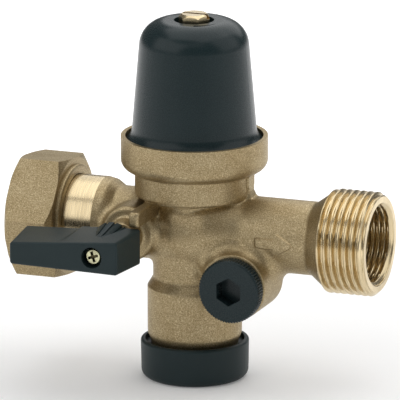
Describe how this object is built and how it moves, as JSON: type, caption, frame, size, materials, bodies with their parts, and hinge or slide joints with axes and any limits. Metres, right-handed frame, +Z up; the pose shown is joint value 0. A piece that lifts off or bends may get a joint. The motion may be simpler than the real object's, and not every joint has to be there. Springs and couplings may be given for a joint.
{
  "type": "pressure reducing valve",
  "caption": "Cast brass pressure reducing valve with a plastic spring bonnet, bottom cap, gauge plug, shut-off lever, inlet union nut and threaded outlet.",
  "frame": {"origin": "centre of the bottom cap's flat base, on the vertical axis of bonnet and barrel", "axes": "+Z up along the bonnet's axis, +X along the run towards the threaded outlet, -Y towards the lever and gauge plug"},
  "size_m": [0.1205, 0.0702, 0.1188],
  "materials": {
    "cast_brass": "matte sand-cast and blasted",
    "turned_brass": "bright turned",
    "black_plastic": "fine matte, moulded",
    "rubber": "matte",
    "white_plastic": "satin, moulded",
    "gasket": "fibre gasket",
    "stainless_steel": "turned",
    "spring_steel": "zinc plated",
    "plated_ball": "polished plating",
    "zinc_plated": "bright zinc plated"
  },
  "bodies": {
    "housing": {"valve_body": "cast_brass", "spring_bonnet": "black_plastic", "slip_ring": "white_plastic", "diaphragm": "rubber", "adjusting_spring": "spring_steel", "valve_seat": "stainless_steel", "guide_insert": "white_plastic", "guide_o_ring": "rubber", "strainer": "stainless_steel", "bottom_cap": "black_plastic", "gauge_plug": "black_plastic", "gauge_plug_o_ring": "rubber", "nut_retaining_ring": "spring_steel", "inlet_ball_seat": "white_plastic", "outlet_ball_seat": "white_plastic", "ball_retainer": "turned_brass"},
    "lever": {"lever_handle": "black_plastic", "handle_screw": "zinc_plated", "ball_stem": "turned_brass", "stem_o_ring": "rubber", "shutoff_ball": "plated_ball"},
    "union": {"union_nut": "cast_brass", "union_washer": "gasket"},
    "adjuster": {"adjusting_screw": "turned_brass"},
    "climbing_plate": {"upper_spring_plate": "turned_brass"},
    "regulator": {"spindle": "stainless_steel", "spindle_nut": "stainless_steel", "lower_spring_plate": "spring_steel", "diaphragm_washer": "turned_brass", "disc_holder": "turned_brass", "seat_disc": "rubber", "piston_o_ring": "rubber"}
  },
  "joints": [
    {"name": "lever_turn", "type": "hinge", "parent": "housing", "child": "lever", "pos_m": [-0.0169, 0, 0.0488], "axis": [0, 1, 0], "range_deg": [0, 90]},
    {"name": "nut_spin", "type": "hinge", "parent": "housing", "child": "union", "pos_m": [-0.05, 0, 0.0488], "axis": [1, 0, 0], "continuous": true},
    {"name": "screw_turn", "type": "hinge", "parent": "housing", "child": "adjuster", "pos_m": [0, 0, 0.1128], "axis": [0, 0, 1], "range_deg": [-720, 720]},
    {"name": "plate_slide", "type": "slide", "parent": "housing", "child": "climbing_plate", "axis": [0, 0, 1], "range_m": [-0.0026, 0.0026], "deforming": ["adjusting_spring"]},
    {"name": "spindle_slide", "type": "slide", "parent": "housing", "child": "regulator", "axis": [0, 0, 1], "range_m": [0, 0.0025], "stiffness_N_per_m": 2000, "springref_m": -0.003, "deforming": ["diaphragm"]}
  ],
  "couplings": [
    {"joint": "plate_slide", "follows": "screw_turn", "m_per_rad": 0.00019894}
  ]
}
